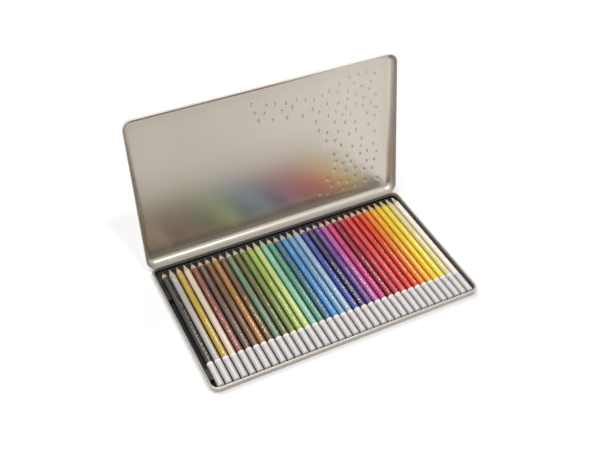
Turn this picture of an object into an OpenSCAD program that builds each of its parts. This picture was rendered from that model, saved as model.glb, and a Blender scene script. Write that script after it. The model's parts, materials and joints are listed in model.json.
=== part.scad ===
// Slim hinged tin for 36 colored pencils, shown open with its row of pencils.
// The origin is the centre of the base's underside. X runs along the row of pencils,
// Y runs from the front edge to the hinge, and Z points up. The lid is drawn at its stop.

/* [Tin] */
// Width of the base over its rolled rim
base_w = 333; // [331:1:420]
// Depth of the base over its rolled rim, front to hinge
base_d = 188; // [186:1:240]
// Height of the base from its underside to the top of the rim
base_h = 9; // [8:0.5:14]
// Thickness of the tinplate
sheet_t = 0.4; // [0.3:0.05:0.6]
// Outer diameter of the rolled rim of the base
rim_d = 2.6; // [2:0.1:3.6]
// Corner radius of the base over the rim, seen from above
corner_r = 10; // [9:0.25:12]
// Inner radius of the bend between the floor and the wall of the base
floor_bend_r = 1.5; // [0.8:0.1:2]

/* [Lid] */
// Depth of the lid from the edge of its skirt to the outside of its panel
lid_depth = 11.5; // [10.5:0.5:16]
// How far the shut lid comes down over the rim of the base
lid_overlap = 3; // [1.5:0.25:3.5]
// Gap between the skirt of the lid and the rim of the base
lid_gap = 0.4; // [0.3:0.05:0.8]
// Outer radius of the bend between the skirt and the panel
lid_bend_r = 8.5; // [2:0.5:8.5]
// Outer diameter of the small roll along the edge of the skirt
hem_d = 1.4; // [1.2:0.1:2]
// Angle from shut to the stop
open_angle = 101.5; // [90:0.5:110]

/* [Hinge] */
// Diameter of the hinge pins
pin_d = 1.6; // [1.2:0.1:2]
// Running clearance all round a pin in its knuckles
pin_gap = 0.05; // [0.02:0.01:0.1]
// Distance of each hinge from the middle of the tin
hinge_x = 108; // [60:1:130]
// Length of the knuckle that belongs to the lid
lid_knuckle_l = 12; // [6:1:24]
// Length of each of the two knuckles that belong to the base
base_knuckle_l = 8; // [4:1:16]
// Gap between neighbouring knuckles
knuckle_gap = 0.3; // [0.2:0.05:0.5]

/* [Pencils] */
// Number of pencils in the row
pencil_count = 36; // [4:1:36]
// Distance from one pencil to the next
pencil_pitch = 8.87; // [8:0.01:9]
// Length of a new pencil
pencil_l = 175; // [100:1:176]
// Diameter of the barrel
pencil_d = 7.5; // [6:0.1:7.6]
// Diameter of the pastel core
core_d = 3.8; // [2:0.1:4.6]
// Length of the sharpened cone
cone_l = 12; // [8:0.5:20]
// Diameter of the blunt tip
tip_d = 0.8; // [0.4:0.1:1.4]
// Radius of the rounding at the dipped end
end_round_r = 1.5; // [0.8:0.1:2]
// Thickness of the wood and lacquer that closes the dipped end over the core
end_cap_t = 1.6; // [1:0.1:3]
// Height of the pencils' axes above the top of the rim, negative is below it
axis_over_rim = -1.6; // [-2.4:0.1:0]

/* [Tray] */
// Thickness of the vacuum-formed sheet
tray_t = 0.4; // [0.3:0.05:0.8]
// Gap between the tray and the wall of the tin
tray_gap = 0.25; // [0.2:0.05:0.6]
// Depth of the tray's edge below the top of the rim
tray_below_rim = 4.8; // [4:0.1:5.4]
// Gap between a pencil and the tray
pencil_gap = 0.3; // [0.2:0.05:0.6]
// Gap between the pencils' dipped ends and the front wall of the tin
end_gap = 0.5; // [0.3:0.05:2.5]
// Width of a rib that carries the pencils, at its foot
rib_w = 18; // [10:1:30]
// Width that each side of a rib leans in, from its foot to its crest
rib_lean = 1.5; // [0.5:0.25:3]
// Distance of the front rib's middle from the pencils' dipped ends
front_rib_y = 20; // [14:1:40]
// Distance of the rear rib's middle from the pencils' dipped ends
rear_rib_y = 140; // [80:1:150]

/* [Hidden] */
function pad(n) = n < 10 ? str("0", n) : str(n);
PENCIL_NODES = [for (n = [1 : pencil_count]) str("pencil_", pad(n))];

$fn = 64;
// How far a cut runs past the solid that it is taken from.
cut_over = 1;

// Colours of the barrels, from the first pencil at the left to the last at the right.
BARREL_COLOURS = [
    "#1c1a18", "#cdc3bf", "#c9a83a", "#ecd6bf", "#8e4a40", "#594148",
    "#6b4434", "#b87238", "#6a4a2c", "#6f9078", "#54552c", "#6d8240",
    "#93b545", "#d3e06a", "#8fd6b4", "#3f9f7e", "#2f6a80", "#2f77c4",
    "#6fa8dc", "#a5c6e6", "#3344a0", "#2b2c5c", "#52338c", "#a0489e",
    "#b8286f", "#7c1e36", "#b02440", "#c62a3c", "#c42a22", "#d8452a",
    "#e07e2a", "#e8a43a", "#eac62e", "#e8e04c", "#e6dcae", "#f0eadc"
];
tinplate = "#b9b2a6";
tray_charcoal = "#2e2b2b";
steel = "#9a9a9a";

// Plan of the tin: the corners of base and lid share their centres.
corner_x = base_w / 2 - corner_r;
corner_y = base_d / 2 - corner_r;
rim_r = rim_d / 2;
wall_in_r = corner_r - rim_d;
skirt_in_r = corner_r + lid_gap;
skirt_out_r = skirt_in_r + sheet_t;

// Hinge: the pins lie behind and below the rolled rim, clear of it by one gap, tucked in under it.
knuckle_bore_r = pin_d / 2 + pin_gap;
knuckle_r = knuckle_bore_r + sheet_t;
knuckle_rim_gap = 0.15;
notch_gap = 0.3;
pin_tuck = 0.7;
pin_drop = rim_r + knuckle_r - pin_tuck;
pin_reach = rim_r + knuckle_r + knuckle_rim_gap;
pin_z = base_h - rim_r - pin_drop;
pin_y = base_d / 2 - rim_r + sqrt(pow(pin_reach, 2) - pow(pin_drop, 2));
skirt_z = base_h - lid_overlap;
skirt_in_y = base_d / 2 + lid_gap - pin_y;
bead_y = base_d / 2 - rim_r - pin_y;

// The lid's knuckle is curled from a strap that runs up the skirt, a little past the hem.
strap_over_hem = 0.2;

// Length of the heel below the pin: swung to the stop, its corner is one heel gap off the rolled rim.
heel_gap = 0.03;
heel_a = cos(open_angle) * bead_y - sin(open_angle) * pin_drop;
heel_b = sin(open_angle) * bead_y + cos(open_angle) * pin_drop;
heel_c = pow(skirt_in_y, 2) + pow(pin_reach, 2) - 2 * skirt_in_y * heel_a - pow(rim_r + heel_gap, 2);
heel_l = -heel_b - sqrt(pow(heel_b, 2) - heel_c);
base_knuckle_x = lid_knuckle_l / 2 + knuckle_gap + base_knuckle_l / 2;
hinge_l = lid_knuckle_l + 2 * (knuckle_gap + base_knuckle_l);
pin_head_lip = 0.4;
pin_head_d = pin_d + 2 * pin_head_lip;
pin_head_t = 0.5;

// Pencils: their dipped ends stand near the front wall of the tin, and their tips point to the hinge.
axis_z = base_h + axis_over_rim;
inner_w = base_w - 2 * rim_d;
inner_d = base_d - 2 * rim_d;
cone_slope = (pencil_d - tip_d) / 2 / cone_l;
wood_cone_l = (pencil_d - core_d) / 2 / cone_slope;
glue_gap = 0.05;
crest_drop = 1;

// Closing pips, pressed into the side skirts, stand just above the rim when the lid is shut.
pip_r = 1;
pip_crest_r = 0.6;
pip_h = 0.9;
pip_root = 0.1;
pip_y = 27.5;
pip_rim_gap = 0.1;
pip_z = base_h + pip_rim_gap + pip_r;

function pencil_x(n) = (n - (pencil_count + 1) / 2) * pencil_pitch;

// The row's front line: one gap behind the tin's wall, and far enough back for the rounded ends of
// the outer pencils to clear the tin's round corners. The tray's low wall passes under those ends.
corner_gap = 0.1;
end_reach = wall_in_r - corner_gap - end_round_r;
end_dx = max(0, pencil_x(pencil_count) + pencil_d / 2 - end_round_r - corner_x);
corner_end_y = -corner_y - sqrt(pow(end_reach, 2) - pow(end_dx, 2)) - end_round_r;
pencil_y = max(-inner_d / 2 + end_gap, corner_end_y);

// Sweeps a profile round the tin's plan. The profile's X is the distance out from a corner's centre.
module swept_round_plan() {
    for (side = [0 : 3]) {
        long = side % 2 == 0;
        run = long ? corner_x : corner_y;
        out = long ? corner_y : corner_x;
        rotate([0, 0, side * 90])
            translate([-run, -out, 0])
                rotate([90, 0, 90])
                    mirror([1, 0, 0])
                        linear_extrude(2 * run)
                            children();
        rotate([0, 0, side * 90])
            translate([-run, -out, 0])
                rotate([0, 0, 180])
                    rotate_extrude(angle = 90)
                        children();
    }
}

// One quarter of a ring: quarter 0 is right and up, then anticlockwise.
module quarter_ring(outer_r, t, quarter) {
    rotate([0, 0, quarter * 90])
        intersection() {
            difference() {
                circle(r = outer_r);
                circle(r = outer_r - t);
            }
            square(outer_r);
        }
}

// An edge rolled outward: three quarters of a ring, on the sheet that runs on at its left side.
module rolled_edge(d) {
    quarter_ring(d / 2, sheet_t, 0);
    quarter_ring(d / 2, sheet_t, 1);
    quarter_ring(d / 2, sheet_t, 3);
}

module base_profile() {
    bend_out_r = floor_bend_r + sheet_t;
    square([wall_in_r - floor_bend_r, sheet_t]);
    translate([wall_in_r - floor_bend_r, bend_out_r])
        quarter_ring(bend_out_r, sheet_t, 3);
    translate([wall_in_r, bend_out_r])
        square([sheet_t, base_h - rim_r - bend_out_r]);
    translate([wall_in_r + rim_r, base_h - rim_r])
        rolled_edge(rim_d);
}

module lid_profile() {
    translate([0, lid_depth - sheet_t])
        square([skirt_out_r - lid_bend_r, sheet_t]);
    translate([skirt_out_r - lid_bend_r, lid_depth - lid_bend_r])
        quarter_ring(lid_bend_r, sheet_t, 0);
    translate([skirt_in_r, hem_d / 2])
        square([sheet_t, lid_depth - lid_bend_r - hem_d / 2]);
    translate([skirt_in_r + hem_d / 2, hem_d / 2])
        mirror([0, 1, 0])
            rolled_edge(hem_d);
}

module base_pan() {
    swept_round_plan()
        base_profile();
    translate([-corner_x, -corner_y, 0])
        cube([2 * corner_x, 2 * corner_y, sheet_t]);
}

module lid_pan() {
    swept_round_plan()
        lid_profile();
    translate([-corner_x, -corner_y, lid_depth - sheet_t])
        cube([2 * corner_x, 2 * corner_y, sheet_t]);
}

// A cylinder along X, centred on its middle.
module bar_x(r, l) {
    rotate([0, 90, 0])
        cylinder(r = r, h = l, center = true);
}

// A strip of the base's wall runs out under the rim and is curled round the pin.
module base_knuckle() {
    wall_y = base_d / 2 - rim_d + sheet_t - pin_y;
    difference() {
        union() {
            bar_x(knuckle_r, base_knuckle_l);
            translate([-base_knuckle_l / 2, wall_y - sheet_t / 2, -knuckle_r])
                cube([base_knuckle_l, -wall_y + sheet_t / 2, sheet_t]);
        }
        bar_x(knuckle_bore_r, base_knuckle_l + 2 * cut_over);
    }
}

// A strip of the lid's skirt is curled round the pin. Its heel meets the rim at the stop.
module lid_knuckle() {
    difference() {
        union() {
            bar_x(knuckle_r, lid_knuckle_l);
            translate([-lid_knuckle_l / 2, skirt_in_y, 0])
                cube([lid_knuckle_l, sheet_t, skirt_z - pin_z + hem_d + strap_over_hem]);
            translate([-lid_knuckle_l / 2, skirt_in_y, -heel_l])
                cube([lid_knuckle_l, sheet_t, heel_l]);
        }
        bar_x(knuckle_bore_r, lid_knuckle_l + 2 * cut_over);
    }
}

// Room in the lid's skirt for the knuckles of one hinge.
module hinge_notch() {
    notch_r = knuckle_r + notch_gap;
    notch_l = hinge_l + 2 * (pin_head_t + notch_gap);
    translate([-notch_l / 2, -notch_r, -notch_r])
        cube([notch_l, 2 * notch_r + hem_d, notch_r + skirt_z - pin_z + hem_d]);
}

// A small round boss, pressed inward through the skirt at each side of the lid.
module pip_outside() {
    rotate([0, 90, 0])
        cylinder(r1 = pip_r, r2 = pip_crest_r, h = pip_h + pip_root);
}

module pip_inside() {
    rotate([0, 90, 0])
        cylinder(r1 = pip_r - sheet_t, r2 = pip_crest_r - sheet_t / 2, h = pip_h + sheet_t);
}

// Places a pip on the inner face of both side skirts, starting depth deep in the sheet.
module at_pips(depth) {
    for (side = [0, 1])
        mirror([side, 0, 0])
            translate([-corner_x - skirt_in_r - depth, pin_y - pip_y, pip_z])
                children();
}

module lid_shut() {
    difference() {
        union() {
            translate([0, 0, skirt_z])
                difference() {
                    lid_pan();
                    for (side = [-1, 1])
                        translate([side * hinge_x, pin_y, pin_z - skirt_z])
                            hinge_notch();
                }
            for (side = [-1, 1])
                translate([side * hinge_x, pin_y, pin_z])
                    lid_knuckle();
            at_pips(pip_root)
                pip_outside();
        }
        at_pips(sheet_t * 2)
            pip_inside();
    }
}

// The pressed pan of the base, with its rolled rim and the knuckles of both hinges.
module base_tin() {
    color(tinplate) {
        base_pan();
        for (side = [-1, 1])
            for (end = [-1, 1])
                translate([side * hinge_x + end * base_knuckle_x, pin_y, pin_z])
                    base_knuckle();
    }
}

// The pressed lid, swung from shut to its stop round the pins.
module lid() {
    color(tinplate)
        translate([0, pin_y, pin_z])
            rotate([-open_angle, 0, 0])
                translate([0, -pin_y, -pin_z])
                    lid_shut();
}

module hinge_pin(side) {
    color(steel)
        translate([side * hinge_x, pin_y, pin_z]) {
            bar_x(pin_d / 2, hinge_l);
            for (end = [-1, 1])
                translate([end * (hinge_l + pin_head_t) / 2, 0, 0])
                    bar_x(pin_head_d / 2, pin_head_t);
        }
}

// Outline of the tray's walls and floor: a thin-walled dish with bent edges.
module tray_dish() {
    out_r = wall_in_r - tray_gap;
    bend_r = floor_bend_r + tray_gap;
    top_z = base_h - tray_below_rim;
    translate([0, 0, sheet_t]) {
        swept_round_plan() {
            square([out_r - bend_r, tray_t]);
            translate([out_r - bend_r, bend_r])
                quarter_ring(bend_r, tray_t, 3);
            translate([out_r - tray_t, bend_r])
                square([tray_t, top_z - sheet_t - bend_r]);
        }
        translate([-corner_x, -corner_y, 0])
            cube([2 * corner_x, 2 * corner_y, tray_t]);
    }
}

// A leaning-sided bar across the tray, grown outward by grow on its sides and its crest.
module rib_bar(grow, w) {
    crest_z = axis_z - crest_drop;
    rotate([90, 0, 90])
        linear_extrude(w, center = true)
            polygon([
                [-rib_w / 2 - grow, 0],
                [rib_w / 2 + grow, 0],
                [rib_w / 2 - rib_lean + grow, crest_z + grow],
                [-rib_w / 2 + rib_lean - grow, crest_z + grow]
            ]);
}

module groove_row(r) {
    for (n = [1 : pencil_count])
        translate([pencil_x(n), 0, axis_z])
            rotate([90, 0, 0])
                cylinder(r = r, h = rib_w + 2 * cut_over, center = true);
}

// The upper face of a rib carries one groove for each pencil.
module rib_outside() {
    difference() {
        rib_bar(0, inner_w - 2 * tray_gap - tray_t);
        groove_row(pencil_d / 2 + pencil_gap);
    }
}

// The hollow under a rib follows the grooves at the thickness of the sheet.
module rib_inside() {
    difference() {
        rib_bar(-tray_t, inner_w - 2 * tray_gap - 3 * tray_t);
        groove_row(pencil_d / 2 + pencil_gap + tray_t);
    }
}

// The dark formed tray, with two hollow ribs that hold the pencils apart.
module tray() {
    color(tray_charcoal)
        difference() {
            union() {
                tray_dish();
                for (rib_y = [front_rib_y, rear_rib_y])
                    translate([0, pencil_y + rib_y, 0])
                        intersection() {
                            rib_outside();
                            translate([-inner_w / 2, -rib_w, sheet_t])
                                cube([inner_w, 2 * rib_w, base_h + pencil_d]);
                        }
            }
            for (rib_y = [front_rib_y, rear_rib_y])
                translate([0, pencil_y + rib_y, 0])
                    rib_inside();
        }
}

// Wooden casing: a rounded closed end, the barrel, and the sharpened cone down to the core.
module casing() {
    r = pencil_d / 2;
    bore_r = core_d / 2 + glue_gap;
    cone_y = pencil_l - cone_l;
    rotate_extrude()
        difference() {
            union() {
                square([r - end_round_r, end_round_r]);
                intersection() {
                    translate([r - end_round_r, end_round_r])
                        circle(r = end_round_r);
                    square([r, end_round_r]);
                }
                translate([0, end_round_r])
                    square([r, cone_y - end_round_r]);
                polygon([
                    [0, cone_y],
                    [r, cone_y],
                    [core_d / 2, cone_y + wood_cone_l],
                    [0, cone_y + wood_cone_l]
                ]);
            }
            translate([0, end_cap_t])
                square([bore_r, pencil_l]);
        }
}

// Pastel core: a rod that ends in the blunt point.
module core() {
    cylinder(d = core_d, h = pencil_l - cone_l + wood_cone_l - end_cap_t - glue_gap);
    translate([0, 0, pencil_l - cone_l + wood_cone_l - end_cap_t - glue_gap])
        cylinder(d1 = core_d, d2 = tip_d, h = cone_l - wood_cone_l);
}

module pencil(n) {
    translate([pencil_x(n), pencil_y, axis_z])
        rotate([-90, 0, 0]) {
            color(BARREL_COLOURS[n - 1])
                casing();
            color(BARREL_COLOURS[n - 1])
                translate([0, 0, end_cap_t + glue_gap])
                    core();
        }
}

base_tin();
tray();
lid();
hinge_pin(-1);  // left_hinge_pin
hinge_pin(1);  // right_hinge_pin
for (n = [1 : pencil_count])
    pencil(n);
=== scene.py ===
import json
import math
import random

import bmesh
import bpy
from mathutils import Matrix, Vector, geometry, noise


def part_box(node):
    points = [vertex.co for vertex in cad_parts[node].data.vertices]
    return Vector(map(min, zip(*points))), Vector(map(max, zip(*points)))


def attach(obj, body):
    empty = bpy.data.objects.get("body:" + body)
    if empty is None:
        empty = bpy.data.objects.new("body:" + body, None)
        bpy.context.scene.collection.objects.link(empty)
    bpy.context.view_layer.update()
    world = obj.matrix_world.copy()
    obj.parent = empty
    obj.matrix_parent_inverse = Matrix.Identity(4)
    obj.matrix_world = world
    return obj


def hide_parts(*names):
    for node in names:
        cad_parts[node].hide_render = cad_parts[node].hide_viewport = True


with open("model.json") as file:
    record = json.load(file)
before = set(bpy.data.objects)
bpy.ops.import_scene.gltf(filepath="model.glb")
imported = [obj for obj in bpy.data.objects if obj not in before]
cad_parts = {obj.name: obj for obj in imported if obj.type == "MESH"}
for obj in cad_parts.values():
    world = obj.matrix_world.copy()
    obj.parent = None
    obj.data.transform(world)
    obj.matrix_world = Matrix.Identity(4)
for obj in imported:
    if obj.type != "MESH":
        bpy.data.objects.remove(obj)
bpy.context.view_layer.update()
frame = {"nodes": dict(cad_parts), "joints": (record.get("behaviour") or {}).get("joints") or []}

MM = 0.001
SHEET = 0.4 * MM                 # tinplate gauge


# ---------------------------------------------------------------- helpers

def srgb(code):
    """Linear colour of an sRGB hex value."""
    parts = [int(code[i:i + 2], 16) / 255 for i in (1, 3, 5)]
    return [p / 12.92 if p <= 0.04045 else ((p + 0.055) / 1.055) ** 2.4 for p in parts] + [1.0]


def add(tree, kind, inputs=None, **settings):
    """Adds a node: settings are its own options, inputs are values, or nodes and sockets to link."""
    node = tree.nodes.new(kind)
    for name, value in settings.items():
        setattr(node, name, value)
    for name, value in (inputs or {}).items():
        if isinstance(value, bpy.types.Node):
            value = value.outputs[0]
        if isinstance(value, bpy.types.NodeSocket):
            tree.links.new(value, node.inputs[name])
        else:
            node.inputs[name].default_value = value
    return node


def blank(name, code):
    """A material with no nodes yet, and its plain colour for a solid view."""
    material = bpy.data.materials.new(name)
    material.use_nodes = True
    material.diffuse_color = srgb(code)
    material.node_tree.nodes.clear()
    return material, material.node_tree


def new_piece(name, bm, materials, body, node, sharp):
    """Turns a bmesh into a piece that rides on a body and stands for a CAD node."""
    for face in bm.faces:
        face.smooth = True
    for edge in bm.edges:
        if len(edge.link_faces) == 2 and edge.calc_face_angle(0) > math.radians(sharp):
            edge.smooth = False
    mesh = bpy.data.meshes.new(name)
    bm.to_mesh(mesh)
    bm.free()
    for material in materials:
        mesh.materials.append(material)
    piece = bpy.data.objects.new(name, mesh)
    bpy.context.scene.collection.objects.link(piece)
    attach(piece, body)
    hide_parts(node)


def dress(node, material):
    """Gives a CAD node its finish."""
    for slot in frame["nodes"][node].material_slots:
        slot.material = material


# ---------------------------------------------------------------- camera

def set_camera():
    """A 51 mm lens about a metre away, to the left of the tin, in front of it and above it."""
    azimuth, elevation, roll = math.radians(29.124), math.radians(43.879), math.radians(3.243)
    distance, aside, above = 990.15 * MM, -16.68 * MM, 68.40 * MM
    look = Vector((math.sin(azimuth) * math.cos(elevation),
                   math.cos(azimuth) * math.cos(elevation), -math.sin(elevation)))
    level = Vector((math.cos(azimuth), -math.sin(azimuth), 0))
    upright = level.cross(look)
    right = math.cos(roll) * level + math.sin(roll) * upright
    up = math.cos(roll) * upright - math.sin(roll) * level
    camera = bpy.data.objects.new("camera", bpy.data.cameras.new("camera"))
    camera.data.sensor_width = 36
    camera.data.lens = 51.17
    camera.data.clip_start = 0.01
    place = aside * right + above * up - distance * look
    camera.matrix_world = Matrix((
        (right.x, up.x, -look.x, place.x),
        (right.y, up.y, -look.y, place.y),
        (right.z, up.z, -look.z, place.z),
        (0, 0, 0, 1)))
    bpy.context.scene.collection.objects.link(camera)
    bpy.context.scene.camera = camera


# ---------------------------------------------------------------- studio

LIGHT_DISTANCE = 2.2             # metres from the tin to each softbox
FLOOR_HALF = 4.0                 # metres
PAPER_TONE = "#f7f7f7"
CARD_TONE = "#909090"


def softbox(name, way, size, level):
    """A rectangular light in direction way from the tin; level is what it adds to a white floor."""
    way = Vector(way).normalized()
    light = bpy.data.lights.new(name, "AREA")
    light.shape = "RECTANGLE"
    light.size, light.size_y = size
    light.energy = level * math.pi ** 2 * LIGHT_DISTANCE ** 2 / way.z
    lamp = bpy.data.objects.new(name, light)
    lamp.location = way * LIGHT_DISTANCE
    lamp.rotation_euler = (-way).to_track_quat("-Z", "Y").to_euler()
    bpy.context.scene.collection.objects.link(lamp)


def seen_directly(tree):
    """1 for rays that show the background, by eye or in metal and glass, and 0 for rays that light."""
    path = add(tree, "ShaderNodeLightPath")
    shown = add(tree, "ShaderNodeMath", {0: path.outputs["Is Camera Ray"],
                                         1: path.outputs["Is Glossy Ray"]}, operation="MAXIMUM")
    return add(tree, "ShaderNodeMath", {0: shown, 1: path.outputs["Is Transmission Ray"]},
               operation="MAXIMUM")


def grey_card():
    """A grey card in front, for the metal to mirror: it is seen in reflections only."""
    bm = bmesh.new()
    bmesh.ops.create_grid(bm, x_segments=1, y_segments=1, size=1.0)
    mesh = bpy.data.meshes.new("grey_card")
    bm.to_mesh(mesh)
    bm.free()
    card = bpy.data.objects.new("grey_card", mesh)
    card.scale = (1.3, 0.32, 1.0)
    card.location = (0.6, -1.9, 0.37)
    card.rotation_euler = (math.radians(90), 0, math.radians(12))
    card.visible_camera = False
    card.visible_shadow = False
    bpy.context.scene.collection.objects.link(card)
    felt, tree = blank("grey_felt", CARD_TONE)
    skin = add(tree, "ShaderNodeBsdfPrincipled", {"Base Color": srgb(CARD_TONE), "Roughness": 1.0})
    add(tree, "ShaderNodeOutputMaterial", {"Surface": skin})
    mesh.materials.append(felt)


def set_studio():
    """A white sweep in a pale room, a small key light in front, and wider lights at the side and behind."""
    scene = bpy.context.scene
    scene.view_settings.view_transform = "Standard"
    world = bpy.data.worlds.new("studio")
    scene.world = world
    world.use_nodes = True
    tree = world.node_tree
    tree.nodes.clear()
    strength = add(tree, "ShaderNodeMapRange", {"Value": seen_directly(tree),
                                                "To Min": 0.15, "To Max": 1.0})
    room = add(tree, "ShaderNodeBackground", {"Color": (1, 1, 1, 1), "Strength": strength})
    add(tree, "ShaderNodeOutputWorld", {"Surface": room})

    softbox("key_light", (0.06, -0.28, 0.96), (0.35, 0.35), 0.32)
    softbox("side_light", (-0.45, -0.20, 0.87), (0.9, 0.6), 0.20)
    softbox("back_light", (-0.30, 0.24, 0.92), (0.6, 0.6), 0.22)
    softbox("rear_strip", (0.20, 0.58, 0.78), (0.5, 0.4), 0.20)
    grey_card()

    bm = bmesh.new()
    bmesh.ops.create_grid(bm, x_segments=1, y_segments=1, size=FLOOR_HALF)
    floor_mesh = bpy.data.meshes.new("floor")
    bm.to_mesh(floor_mesh)
    bm.free()
    floor = bpy.data.objects.new("floor", floor_mesh)
    scene.collection.objects.link(floor)
    paper, tree = blank("white_paper_sweep", PAPER_TONE)
    # the paper glows towards its far parts, so that it ends in white
    where = add(tree, "ShaderNodeTexCoord").outputs["Object"]
    distance = add(tree, "ShaderNodeVectorMath", {0: where}, operation="LENGTH").outputs["Value"]
    fade = add(tree, "ShaderNodeMapRange", {"Value": distance, "From Min": 0.4, "From Max": 2.5,
                                            "To Min": 0.12, "To Max": 1.0})
    glow = add(tree, "ShaderNodeMath", {0: fade, 1: seen_directly(tree)}, operation="MULTIPLY")
    skin = add(tree, "ShaderNodeBsdfPrincipled", {"Base Color": srgb(PAPER_TONE), "Roughness": 0.9,
                                                  "Emission Color": (1, 1, 1, 1),
                                                  "Emission Strength": glow})
    add(tree, "ShaderNodeOutputMaterial", {"Surface": skin})
    floor_mesh.materials.append(paper)


# ---------------------------------------------------------------- materials

def lacquered_tinplate(name, turn, pin, clean_z, dull_z, worked_shade_tone):
    """Rolled tinplate under a thin clear lacquer: a soft warm mirror, duller where it is worked. Its colour
    holds painted light: a darker grey as painted shade on the worked bends, walls and rims, paler along the
    front as painted light, and paler towards the right of the flat sheet as a painted reflection.

    turn and pin lay an open lid flat, so that the patterns follow the sheet. clean_z is the height at which
    the flat sheet's finish ends, and dull_z the one from which it is at its dullest and carries the most
    painted shade. The last colour is the darker grey painted there as shade.
    """
    material, tree = blank(name, "#cfc8bc")
    where = add(tree, "ShaderNodeTexCoord").outputs["Object"]
    shift = pin - Matrix.Rotation(turn, 3, "X") @ pin
    laid = add(tree, "ShaderNodeMapping", {"Vector": where, "Rotation": (turn, 0, 0), "Location": shift})
    # lines of the rolling mill, 2.5 mm apart and some 150 mm long: coarser than real, so that they show
    along = add(tree, "ShaderNodeVectorMath", {0: laid, 1: (0.016, 1, 1)}, operation="MULTIPLY")
    mill = add(tree, "ShaderNodeTexNoise", {"Vector": along, "Scale": 1 / (2.5 * MM), "Detail": 2.0})
    cloud = add(tree, "ShaderNodeTexNoise", {"Vector": laid, "Scale": 1 / (70 * MM), "Detail": 2.0})
    place = add(tree, "ShaderNodeSeparateXYZ", {"Vector": laid})
    height = place.outputs["Z"]
    # painted light: the worked edge is painted paler along the front, where the rim faces the light;
    # further back it keeps the darker painted shade
    painted_front_light = add(tree, "ShaderNodeMapRange", {"Value": place.outputs["Y"], "From Min": -84 * MM,
                                              "From Max": -92 * MM})
    edge = add(tree, "ShaderNodeMix", {"Factor": painted_front_light, 6: srgb(worked_shade_tone), 7: srgb("#cdc6bb")},
               data_type="RGBA").outputs[2]
    # painted shade: the worked bends, walls and rims are painted a darker grey; their duller, less metallic
    # gloss is real working
    worked_and_painted_shade = add(tree, "ShaderNodeMapRange", {"Value": height, "From Min": clean_z, "From Max": dull_z},
                 interpolation_type="SMOOTHSTEP")
    # painted reflection: the flat sheet is painted paler towards the right, where it mirrors brighter
    # surroundings; the clouds are its own uneven tone
    painted_reflection_across = add(tree, "ShaderNodeMapRange", {"Value": place.outputs["X"], "From Min": -160 * MM,
                                              "From Max": 120 * MM})
    clouds_and_painted_reflection = add(tree, "ShaderNodeMix", {"Factor": 0.35, 2: painted_reflection_across, 3: cloud})
    plain = add(tree, "ShaderNodeMix", {"Factor": clouds_and_painted_reflection, 6: srgb("#b5ada0"), 7: srgb("#d5cfc4")},
                data_type="RGBA").outputs[2]
    toned = add(tree, "ShaderNodeMix", {"Factor": worked_and_painted_shade, 6: plain, 7: edge},
                data_type="RGBA").outputs[2]
    metal = add(tree, "ShaderNodeMapRange", {"Value": worked_and_painted_shade, "To Min": 0.80, "To Max": 0.3})
    satin = add(tree, "ShaderNodeMapRange", {"Value": worked_and_painted_shade, "To Min": 0.26, "To Max": 0.52})
    lines = add(tree, "ShaderNodeMapRange", {"Value": mill, "From Min": 0.3, "From Max": 0.7,
                                             "To Min": -0.004, "To Max": 0.004})
    gloss = add(tree, "ShaderNodeMath", {0: satin, 1: lines}, operation="ADD")
    skin = add(tree, "ShaderNodeBsdfPrincipled", {"Base Color": toned, "Metallic": metal,
                                                  "Roughness": gloss})
    add(tree, "ShaderNodeOutputMaterial", {"Surface": skin})
    return material


def formed_sheet():
    """Charcoal polystyrene, vacuum formed: satin, with the fine pebble of the mould."""
    material, tree = blank("charcoal_polystyrene_sheet", "#262324")
    where = add(tree, "ShaderNodeTexCoord").outputs["Object"]
    pebble = add(tree, "ShaderNodeTexNoise", {"Vector": where, "Scale": 1 / (0.6 * MM), "Detail": 2.0})
    gloss = add(tree, "ShaderNodeMapRange", {"Value": pebble, "From Min": 0.35, "From Max": 0.65,
                                             "To Min": 0.45, "To Max": 0.58})
    relief = add(tree, "ShaderNodeBump", {"Height": pebble, "Distance": 0.02 * MM})
    skin = add(tree, "ShaderNodeBsdfPrincipled", {"Base Color": srgb("#211e1f"), "Roughness": gloss,
                                                  "Specular IOR Level": 0.3, "Normal": relief})
    add(tree, "ShaderNodeOutputMaterial", {"Surface": skin})
    return material


def drawn_wire():
    """Bright drawn steel wire: fine lines along the pin, left by the die."""
    material, tree = blank("drawn_steel_wire", "#a9a9a9")
    where = add(tree, "ShaderNodeTexCoord").outputs["Object"]
    along = add(tree, "ShaderNodeVectorMath", {0: where, 1: (0.02, 1, 1)}, operation="MULTIPLY")
    lines = add(tree, "ShaderNodeTexNoise", {"Vector": along, "Scale": 1 / (0.15 * MM)})
    gloss = add(tree, "ShaderNodeMapRange", {"Value": lines, "From Min": 0.3, "From Max": 0.7,
                                             "To Min": 0.22, "To Max": 0.4})
    skin = add(tree, "ShaderNodeBsdfPrincipled", {"Base Color": srgb("#a9a9a9"), "Metallic": 1.0,
                                                  "Roughness": gloss})
    add(tree, "ShaderNodeOutputMaterial", {"Surface": skin})
    return material


def barrel_lacquer(name, code):
    """Nitrocellulose lacquer in several coats: an even colour, a clear gloss and a little orange peel."""
    material, tree = blank(name, code)
    where = add(tree, "ShaderNodeTexCoord").outputs["Object"]
    peel = add(tree, "ShaderNodeTexNoise", {"Vector": where, "Scale": 1 / (1.2 * MM), "Detail": 1.0})
    gloss = add(tree, "ShaderNodeMapRange", {"Value": peel, "From Min": 0.3, "From Max": 0.7,
                                             "To Min": 0.30, "To Max": 0.34})
    relief = add(tree, "ShaderNodeBump", {"Height": peel, "Distance": 0.012 * MM})
    skin = add(tree, "ShaderNodeBsdfPrincipled", {"Base Color": srgb(code), "Roughness": gloss,
                                                  "Specular IOR Level": 0.4, "Coat Weight": 0.7,
                                                  "Coat Roughness": 0.22, "Normal": relief})
    add(tree, "ShaderNodeOutputMaterial", {"Surface": skin})
    return material


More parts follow.
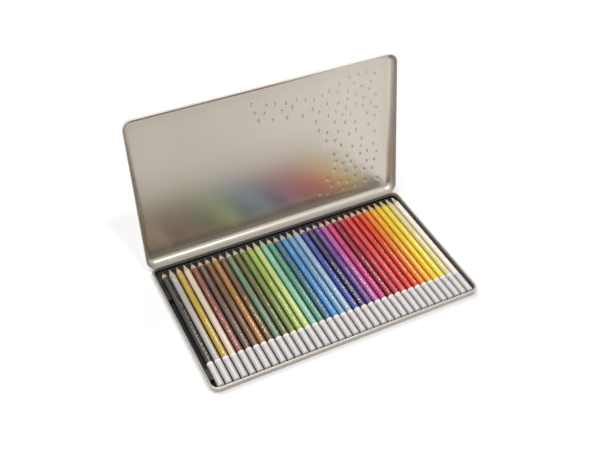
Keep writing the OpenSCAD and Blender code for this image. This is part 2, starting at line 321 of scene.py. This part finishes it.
def silver_dip():
    """Silver-grey dip lacquer with a little aluminium flake: satin, and cooler than the tin."""
    material, tree = blank("silver_grey_dip", "#c7c2c1")
    where = add(tree, "ShaderNodeTexCoord").outputs["Object"]
    flake = add(tree, "ShaderNodeTexNoise", {"Vector": where, "Scale": 1 / (0.35 * MM), "Detail": 2.0})
    tone = add(tree, "ShaderNodeMix", {"Factor": flake, 6: srgb("#bfbab9"), 7: srgb("#cfcac9")},
               data_type="RGBA").outputs[2]
    gloss = add(tree, "ShaderNodeMapRange", {"Value": flake, "From Min": 0.3, "From Max": 0.7,
                                             "To Min": 0.38, "To Max": 0.5})
    skin = add(tree, "ShaderNodeBsdfPrincipled", {"Base Color": tone, "Metallic": 0.2, "Roughness": gloss})
    add(tree, "ShaderNodeOutputMaterial", {"Surface": skin})
    return material


def white_enamel():
    """White enamel, brushed on as a band between the colour and the dip."""
    material, tree = blank("white_enamel_band", "#e7e3dc")
    where = add(tree, "ShaderNodeTexCoord").outputs["Object"]
    brushed = add(tree, "ShaderNodeTexNoise", {"Vector": where, "Scale": 1 / (1.0 * MM)})
    gloss = add(tree, "ShaderNodeMapRange", {"Value": brushed, "From Min": 0.3, "From Max": 0.7,
                                             "To Min": 0.3, "To Max": 0.42})
    skin = add(tree, "ShaderNodeBsdfPrincipled", {"Base Color": srgb("#e7e3dc"), "Roughness": gloss})
    add(tree, "ShaderNodeOutputMaterial", {"Surface": skin})
    return material


def stamping_foil():
    """Hot-stamped pale gold foil: thin metal, rubbed dull here and there."""
    material, tree = blank("pale_gold_foil", "#d6cbb0")
    where = add(tree, "ShaderNodeTexCoord").outputs["Object"]
    rub = add(tree, "ShaderNodeTexNoise", {"Vector": where, "Scale": 1 / (1.5 * MM)})
    gloss = add(tree, "ShaderNodeMapRange", {"Value": rub, "From Min": 0.35, "From Max": 0.65,
                                             "To Min": 0.35, "To Max": 0.6})
    skin = add(tree, "ShaderNodeBsdfPrincipled", {"Base Color": srgb("#d6cbb0"), "Metallic": 0.6,
                                                  "Roughness": gloss})
    add(tree, "ShaderNodeOutputMaterial", {"Surface": skin})
    return material


def sharpened_wood():
    """Incense cedar cut by the sharpener: pale and dry, with long grain and fine rings from the blade."""
    material, tree = blank("sharpened_cedar", "#e3cfb8")
    where = add(tree, "ShaderNodeTexCoord").outputs["Object"]
    along = add(tree, "ShaderNodeVectorMath", {0: where, 1: (1, 0.08, 1)}, operation="MULTIPLY")
    grain = add(tree, "ShaderNodeTexNoise", {"Vector": along, "Scale": 1 / (0.6 * MM), "Detail": 4.0})
    streak = add(tree, "ShaderNodeMapRange", {"Value": grain, "From Min": 0.35, "From Max": 0.65})
    tone = add(tree, "ShaderNodeMix", {"Factor": streak, 6: srgb("#b89e81"), 7: srgb("#d6c2a8")},
               data_type="RGBA").outputs[2]
    rings = add(tree, "ShaderNodeTexWave", {"Vector": where, "Scale": 0.31 / (0.9 * MM), "Distortion": 0.6,
                                            "Detail": 1.0}, bands_direction="Y")
    relief = add(tree, "ShaderNodeBump", {"Height": rings, "Distance": 0.015 * MM})
    skin = add(tree, "ShaderNodeBsdfPrincipled", {"Base Color": tone, "Roughness": 0.65, "Normal": relief})
    add(tree, "ShaderNodeOutputMaterial", {"Surface": skin})
    return material


def pigment(name, code):
    """Wax, clay and pigment: matte, slightly crumbly and chalky where the sharpener cut it."""
    material, tree = blank(name, code)
    where = add(tree, "ShaderNodeTexCoord").outputs["Object"]
    crumb = add(tree, "ShaderNodeTexNoise", {"Vector": where, "Scale": 1 / (0.25 * MM), "Detail": 3.0})
    dust = add(tree, "ShaderNodeMapRange", {"Value": crumb, "From Min": 0.4, "From Max": 0.8,
                                            "To Min": 0.0, "To Max": 0.3})
    tone = add(tree, "ShaderNodeMix", {"Factor": dust, 6: srgb(code), 7: srgb("#d8d2cc")},
               data_type="RGBA").outputs[2]
    relief = add(tree, "ShaderNodeBump", {"Height": crumb, "Distance": 0.03 * MM})
    skin = add(tree, "ShaderNodeBsdfPrincipled", {"Base Color": tone, "Roughness": 0.62, "Normal": relief})
    add(tree, "ShaderNodeOutputMaterial", {"Surface": skin})
    return material


# ---------------------------------------------------------------- lid

def hinge_place():
    """The middle of the hinge pins, and the angle from open to shut."""
    hinge = next(j for j in frame["joints"] if j["name"] == "lid_hinge")
    return Vector(hinge["pos_m"]), math.radians(-hinge["range_deg"][0])


DIMPLE_R = (2.3, 2.7)            # mm, smallest and largest dimple
DIMPLE_DEPTH = 0.75 * MM
DIMPLE_GAP = 10.2 * MM           # least distance between two dimples' middles
DIMPLES = 104
DIMPLE_RINGS = 6                 # rings of points from a dimple's edge to its middle
PANEL_STEP = 6 * MM              # grid of the sheet between the dimples


def dimple_places(half_w, half_d):
    """Loose drifts of pressed dots: thick at the right of the panel, thin towards the middle of its top."""
    rng = random.Random(11)
    places = []
    for _ in range(6000):
        x = rng.uniform(-20 * MM, half_w - 12 * MM)
        y = rng.uniform(-half_d + 10 * MM, half_d - 12 * MM)
        edge = 72 * MM + 16 * MM * math.sin(y / (21 * MM)) - 0.12 * y
        arm = abs(y + half_d - 26 * MM - 0.10 * (x + 20 * MM)) < 13 * MM
        if x < edge and not (arm and rng.random() < 0.5):
            continue
        if all((x - a) ** 2 + (y - b) ** 2 > DIMPLE_GAP ** 2 for a, b, _ in places):
            places.append((x, y, rng.uniform(*DIMPLE_R) * MM))
        if len(places) == DIMPLES:
            break
    return places


def build_lid(metal):
    """The pressed lid, with its flat panel remade: a gentle bow, and round dimples pressed outward."""
    pin, opened = hinge_place()
    shut = Matrix.Translation(pin) @ Matrix.Rotation(opened, 4, "X") @ Matrix.Translation(-pin)
    bm = bmesh.new()
    bm.from_mesh(frame["nodes"]["lid"].data)
    bmesh.ops.transform(bm, matrix=shut, verts=bm.verts)
    bmesh.ops.remove_doubles(bm, verts=bm.verts, dist=0.002 * MM)
    top = max(v.co.z for v in bm.verts)
    for height in (top, top - SHEET):
        flat = [f for f in bm.faces if all(abs(v.co.z - height) < 0.01 * MM for v in f.verts)]
        bmesh.ops.delete(bm, geom=flat, context="FACES")
    for height, turned in ((top, False), (top - SHEET, True)):
        edges = [e for e in bm.edges if len(e.link_faces) == 1
                 and all(abs(v.co.z - height) < 0.01 * MM for v in e.verts)]
        fill_panel(bm, edges, height, turned)
    bmesh.ops.transform(bm, matrix=shut.inverted(), verts=bm.verts)
    new_piece("lid_shell", bm, [metal], "lid", "lid", sharp=30)


def fill_panel(bm, edges, height, turned):
    """Fills the hole bounded by edges with a fine sheet that carries the dimples."""
    rim = list({v for e in edges for v in e.verts})
    number = {v: i for i, v in enumerate(rim)}
    points = [Vector((v.co.x, v.co.y)) for v in rim]
    low = Vector((min(p.x for p in points), min(p.y for p in points)))
    high = Vector((max(p.x for p in points), max(p.y for p in points)))
    centre = (low + high) / 2
    half = (high - low) / 2
    dimples = dimple_places(half.x, half.y)
    inner = []
    for x, y, r in dimples:
        for k in range(DIMPLE_RINGS):
            ring = r * (1 - k / DIMPLE_RINGS)
            count = 18 if k < 4 else 9
            turns = [2 * math.pi * i / count for i in range(count)]
            inner += [Vector((x + centre.x + ring * math.cos(t),
                              y + centre.y + ring * math.sin(t))) for t in turns]
        inner.append(Vector((x + centre.x, y + centre.y)))
    for i in range(1, int(2 * half.x / PANEL_STEP)):
        for j in range(1, int(2 * half.y / PANEL_STEP)):
            p = low + Vector((i * PANEL_STEP, j * PANEL_STEP))
            near = min((p - centre - Vector((x, y))).length - 1.3 * r for x, y, r in dimples)
            if near > 0 and p.x < high.x - 2 * MM and p.y < high.y - 2 * MM:
                inner.append(p)
    lines = [(number[e.verts[0]], number[e.verts[1]]) for e in edges]
    result = geometry.delaunay_2d_cdt(points + inner, lines, [], 1, 1e-7)
    coords, faces, sources = result[0], result[2], result[3]
    made = []
    for co, source in zip(coords, sources):
        kept = next((s for s in source if s < len(rim)), None)
        if kept is not None:
            made.append(rim[kept])
            continue
        p = co - centre
        z = height + bow(p, half)
        for x, y, r in dimples:
            d = (p - Vector((x, y))).length / r
            if d < 1:
                z += DIMPLE_DEPTH * (0.5 + 0.5 * math.cos(math.pi * d))
        made.append(bm.verts.new((co.x, co.y, z)))
    for face in faces:
        corners = [made[i] for i in (reversed(face) if turned else face)]
        bm.faces.new(corners)


def bow(p, half):
    """Slight waves of a thin pressed sheet: nothing at its edge, some tenths of a millimetre inside."""
    edge = min(1.0, min(half.x - abs(p.x), half.y - abs(p.y)) / (25 * MM))
    wave = noise.noise(Vector((p.x / (95 * MM), p.y / (70 * MM), 3.7)))
    return -0.30 * MM * max(edge, 0) * wave - 0.12 * MM * max(edge, 0)


# ---------------------------------------------------------------- pencils

# Lacquer of the barrel and pigment of the core, from the left of the row to the right.
PENCILS = [
    ("black", "#100e0d", "#242120"), ("warm_grey", "#b4aca5", "#b5a9ab"),
    ("ochre", "#b89a30", "#b09045"), ("cream", "#dbc6b2", "#dcbfa5"),
    ("red_brown", "#83483a", "#84463c"), ("purple_brown", "#5f4640", "#55404a"),
    ("umber", "#6b462a", "#65483a"), ("orange_ochre", "#a16f32", "#aa7040"),
    ("brown", "#644a28", "#5f4933"), ("sage", "#678065", "#64806c"),
    ("dark_olive", "#565929", "#53532f"), ("olive_green", "#6c8038", "#61733f"),
    ("leaf_green", "#98ae49", "#80a046"), ("light_green", "#bbcb77", "#bfcb60"),
    ("mint", "#84baa0", "#77bf9e"), ("emerald", "#4c8d75", "#3c8a6e"),
    ("petrol", "#38687b", "#2e5d70"), ("mid_blue", "#4489c2", "#336cab"),
    ("sky_blue", "#6796bc", "#6095c4"), ("pale_blue", "#8fabc9", "#8fb0d2"),
    ("ultramarine", "#384891", "#36448f"), ("navy", "#292957", "#2f3055"),
    ("dark_violet", "#583682", "#4f357e"), ("violet", "#ad529c", "#8f468d"),
    ("magenta", "#ba2e6d", "#a83468"), ("bordeaux", "#83122a", "#702a3c"),
    ("crimson", "#b21a31", "#a13044"), ("carmine", "#ca3338", "#b33644"),
    ("red", "#c11b0c", "#b4352d"), ("vermilion", "#cc3104", "#c64b34"),
    ("orange", "#de7200", "#d17c38"), ("yellow_orange", "#e69e08", "#d99c40"),
    ("golden_yellow", "#e6c000", "#dab93c"), ("lemon", "#e5d236", "#d8d053"),
    ("ivory", "#d9c889", "#dccfa2"), ("white", "#e5ddce", "#e9e4d8"),
]
PENCIL_LENGTH = 175 * MM
BARREL_R = 3.70 * MM             # the lacquered barrel; the dip and the band stand 0.05 mm proud of it
DIP_R = 3.75 * MM
END_ROUND = 1.5 * MM
TIP_LAND = 0.3 * MM              # rounded very end of the core
CORE_R = 1.9 * MM
CONE = 12 * MM
BAND_END, DIP_END = 31.5 * MM, 28.4 * MM
BAND_STEP = 0.03 * MM
FACETS = 40
FOIL_START, FOIL_PITCH = 36 * MM, 3.2 * MM
FOIL_ROLL = (78, 38)             # degrees round the barrel: the foil line's middle, and how far it may roll
DIP, BAND, BARREL, WOOD, CORE, FOIL = range(6)


def revolve(bm, rings, kinds):
    """Joins rings of vertices, and closes the ends onto single points."""
    for a, b, kind in zip(rings, rings[1:], kinds):
        for i in range(FACETS):
            j = (i + 1) % FACETS
            corners = [a[i % len(a)], a[j % len(a)], b[j % len(b)], b[i % len(b)]]
            corners = [v for n, v in enumerate(corners) if v not in corners[:n]]
            face = bm.faces.new(corners)
            face.material_index = kind


def stations(rng):
    """Distance from the dipped end, radius, slant and finish of each ring along a pencil."""
    rows = [(0, 0, 0, DIP), (0, 1.4 * MM, 0, DIP)]
    for degrees in range(10, 91, 16):
        turn = math.radians(degrees)
        rows.append((END_ROUND * (1 - math.cos(turn)), DIP_R - END_ROUND * (1 - math.sin(turn)), 0, DIP))
    rows += [(8 * MM, DIP_R, 0, DIP), (DIP_END, DIP_R, 0, DIP)]
    rows += [(DIP_END + BAND_STEP, DIP_R - BAND_STEP, 0, BAND), (BAND_END, DIP_R - BAND_STEP, 0, BAND)]
    rows += [(BAND_END + BAND_STEP, BARREL_R, 0, BARREL)]
    rows += [(s * MM, BARREL_R, 0, BARREL) for s in (70, 110, 145, 160)]
    cut = PENCIL_LENGTH - CONE
    slope = (DIP_R - 0.4 * MM) / CONE
    core_s = cut + (DIP_R - CORE_R) / slope
    slant = rng.uniform(0.15, 0.5) * MM
    rows += [(cut - 0.5 * MM, BARREL_R, slant, BARREL), (cut, BARREL_R, slant, WOOD),
             (cut + 0.12 * MM, BARREL_R - 0.06 * MM, slant, WOOD)]
    for k in range(1, 6):
        s = cut + k / 6 * (core_s - cut)
        rows.append((s, DIP_R - (s - cut) * slope, slant * (1 - k / 6), WOOD))
    blunt = rng.uniform(0.30, 0.55) * MM
    rows += [(core_s, CORE_R, 0, CORE), (core_s + 0.05 * MM, CORE_R - 0.04 * MM, 0, CORE)]
    tip_s = PENCIL_LENGTH - TIP_LAND
    for f in (0.3, 0.6, 0.85, 1.0):
        rows.append((core_s + f * (tip_s - core_s), CORE_R + f * (blunt - CORE_R), 0, CORE))
    rows += [(PENCIL_LENGTH - 0.06 * MM, blunt * 0.6, 0, CORE), (PENCIL_LENGTH, 0, 0, CORE)]
    return rows


def build_pencil(number, finishes):
    """A sharpened round pencil: dipped end, white band, lacquered barrel, cut wood and core."""
    node = f"pencil_{number:02d}"
    name, barrel, core = PENCILS[number - 1]
    rng = random.Random(number)
    low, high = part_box(node)
    axis = Vector(((low.x + high.x) / 2, low.y, (low.z + high.z) / 2))
    phase = rng.uniform(0, 2 * math.pi)
    bm = bmesh.new()
    rings, kinds = [], []
    for s, r, slant, kind in stations(rng):
        turns = [2 * math.pi * i / FACETS for i in range(FACETS if r else 1)]
        rings.append([bm.verts.new(axis + Vector((r * math.cos(t), s + slant * math.sin(t + phase),
                                                  r * math.sin(t)))) for t in turns])
        kinds.append(kind)
    revolve(bm, rings, kinds)
    stamp_foil(bm, axis, rng)
    bmesh.ops.recalc_face_normals(bm, faces=bm.faces)
    slots = [finishes["dip"], finishes["band"], barrel_lacquer("lacquer_" + name, barrel),
             finishes["wood"], pigment("core_" + name, core), finishes["foil"]]
    new_piece(node + "_detailed", bm, slots, node + "_body", node, sharp=28)


def stamp_foil(bm, axis, rng):
    """Plain stamped ornament: a broken line of small lozenges along the barrel, rolled to any side."""
    angle, roll = FOIL_ROLL
    middle = math.radians(angle + rng.uniform(-roll, roll))
    for k in range(rng.randint(20, 28)):
        long = rng.uniform(1.0, 2.9) * MM
        if k % 6 != 5:
            foil_patch(bm, axis, middle + 0.07 * (-1) ** k, FOIL_START + k * FOIL_PITCH, long,
                       rng.uniform(0.12, 0.24))


def foil_patch(bm, axis, middle, start, long, half):
    """A thin closed lozenge on the barrel; half is half its width as an angle."""
    outline = [(start, middle), (start + long / 2, middle + half), (start + long, middle),
               (start + long / 2, middle - half)]
    top, under = [[bm.verts.new(axis + Vector((r * math.cos(a), s, r * math.sin(a)))) for s, a in outline]
                  for r in (BARREL_R + 0.02 * MM, BARREL_R - 0.1 * MM)]
    faces = [bm.faces.new(top), bm.faces.new(list(reversed(under)))]
    for i in range(len(top)):
        j = (i + 1) % len(top)
        faces.append(bm.faces.new((top[i], under[i], under[j], top[j])))
    for face in faces:
        face.material_index = FOIL


# ---------------------------------------------------------------- assembly

set_camera()
set_studio()
hinge_pin, opening = hinge_place()
lid_top = 17.5 * MM              # outside of the panel when the lid is shut
# the last colour given to the base's tinplate is the darker grey painted on its worked walls and rims as
# shade
dress("base_tin", lacquered_tinplate("lacquered_tinplate_base", 0, hinge_pin, 1 * MM, 5 * MM,
                                     "#a39d94"))
dress("tray", formed_sheet())
wire = drawn_wire()
dress("left_hinge_pin", wire)
dress("right_hinge_pin", wire)
# the last colour given to the lid's tinplate is the darker grey painted on its worked bends and walls as
# shade
build_lid(lacquered_tinplate("lacquered_tinplate_lid", opening, hinge_pin, lid_top - 0.9 * MM,
                             lid_top - 9 * MM, "#b0aba2"))
shared = {"dip": silver_dip(), "band": white_enamel(), "wood": sharpened_wood(), "foil": stamping_foil()}
for pencil_number in range(1, len(PENCILS) + 1):
    build_pencil(pencil_number, shared)
